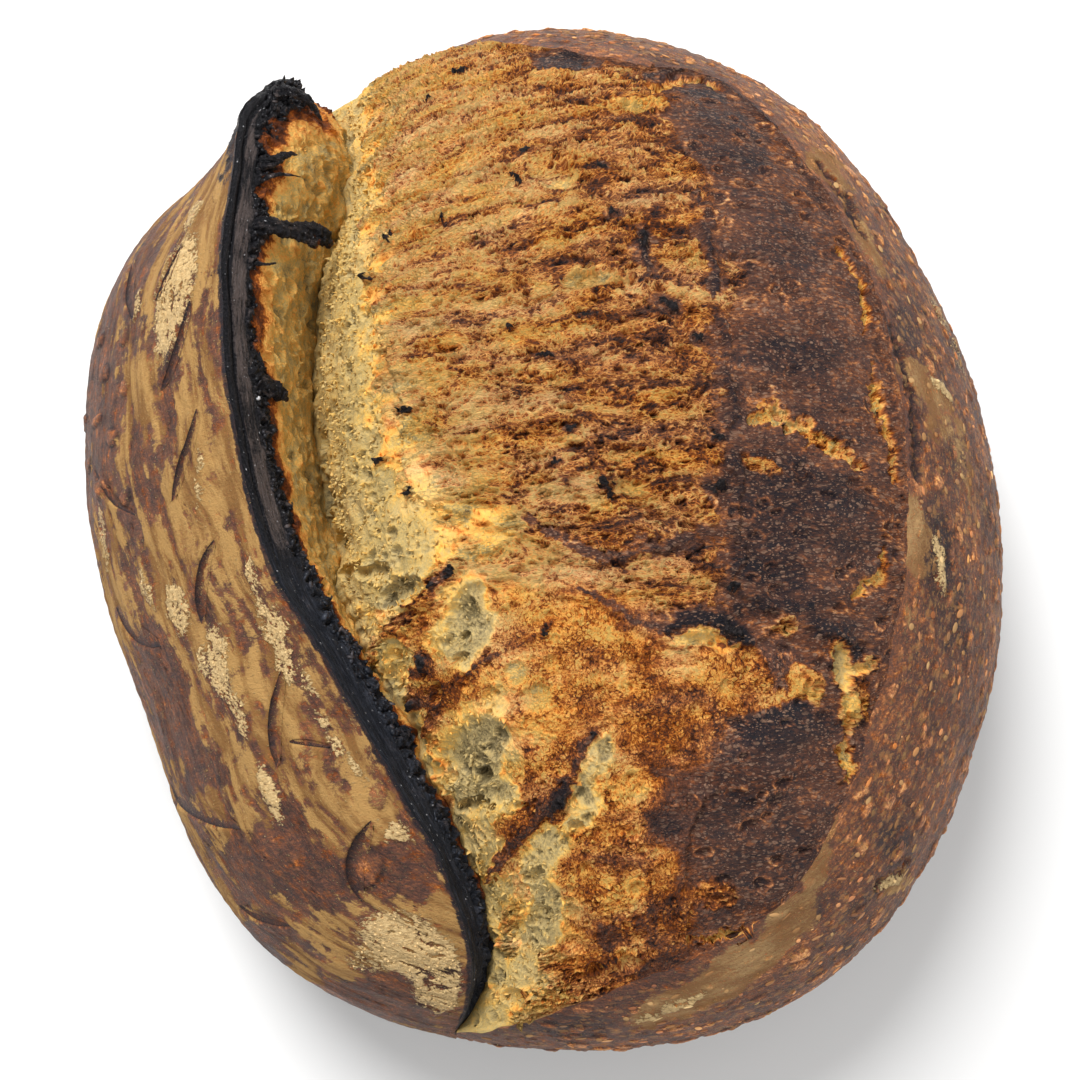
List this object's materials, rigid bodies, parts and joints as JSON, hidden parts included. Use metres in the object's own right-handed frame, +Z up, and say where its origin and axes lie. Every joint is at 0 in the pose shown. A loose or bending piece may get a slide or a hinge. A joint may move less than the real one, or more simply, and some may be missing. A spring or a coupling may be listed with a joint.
{
  "type": "sourdough loaf",
  "caption": "Round sourdough loaf with one long slash, a lifted charred ear, an open torn bloom and a dark blistered crust",
  "frame": {"origin": "on the table, under the middle of the loaf's box", "axes": "+X across the loaf, away from the ear; +Y along the slash, towards the end where the ear stands highest; +Z up"},
  "size_m": [0.215, 0.2434, 0.101],
  "materials": {
    "crust": "uneven baked bread crust, floured on one side, torn golden crumb along the slash, charred at the ear"
  },
  "bodies": {
    "root": {"loaf": "crust"}
  },
  "joints": []
}
